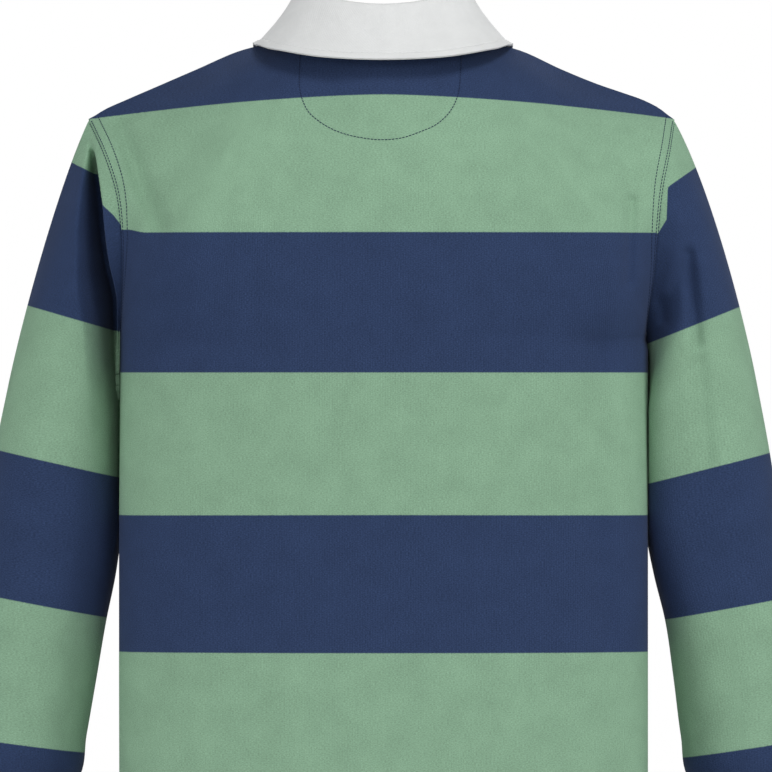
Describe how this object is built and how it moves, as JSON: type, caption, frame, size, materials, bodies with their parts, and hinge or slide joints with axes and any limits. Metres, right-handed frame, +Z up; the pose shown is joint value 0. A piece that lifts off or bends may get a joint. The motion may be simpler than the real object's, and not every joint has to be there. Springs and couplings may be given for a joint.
{
  "type": "long-sleeved polo shirt",
  "caption": "Long-sleeved striped jersey polo shirt, hollow and filled out as worn: woven fold-over collar, buttoned placket, set-in sleeves with rib cuffs, straight open hem.",
  "frame": {"origin": "centre of the neck opening at its base, level with the shoulders' neck points, where the wearer's neck and shoulders hold the shirt up", "axes": "+Z up along the wearer's neck, front facing -Y, back facing +Y, the wearer's left at +X"},
  "size_m": [0.703, 0.2435, 0.7613],
  "materials": {
    "striped_jersey": "matt heavy jersey in wide navy and green stripes",
    "navy_jersey": "matt navy jersey",
    "navy_rib": "matt navy rib knit",
    "white_twill": "matt white woven twill, topstitched",
    "button": "satin off-white"
  },
  "bodies": {
    "root": {"back": "striped_jersey", "front": "striped_jersey", "sleeve_left": "striped_jersey", "sleeve_right": "striped_jersey", "cuff_left": "navy_rib", "cuff_right": "navy_rib", "collar_stand": "white_twill", "collar_leaf": "white_twill", "placket_over": "white_twill", "placket_under": "white_twill", "half_moon": "navy_jersey", "button_1": "button", "button_2": "button", "button_3": "button"}
  },
  "joints": []
}
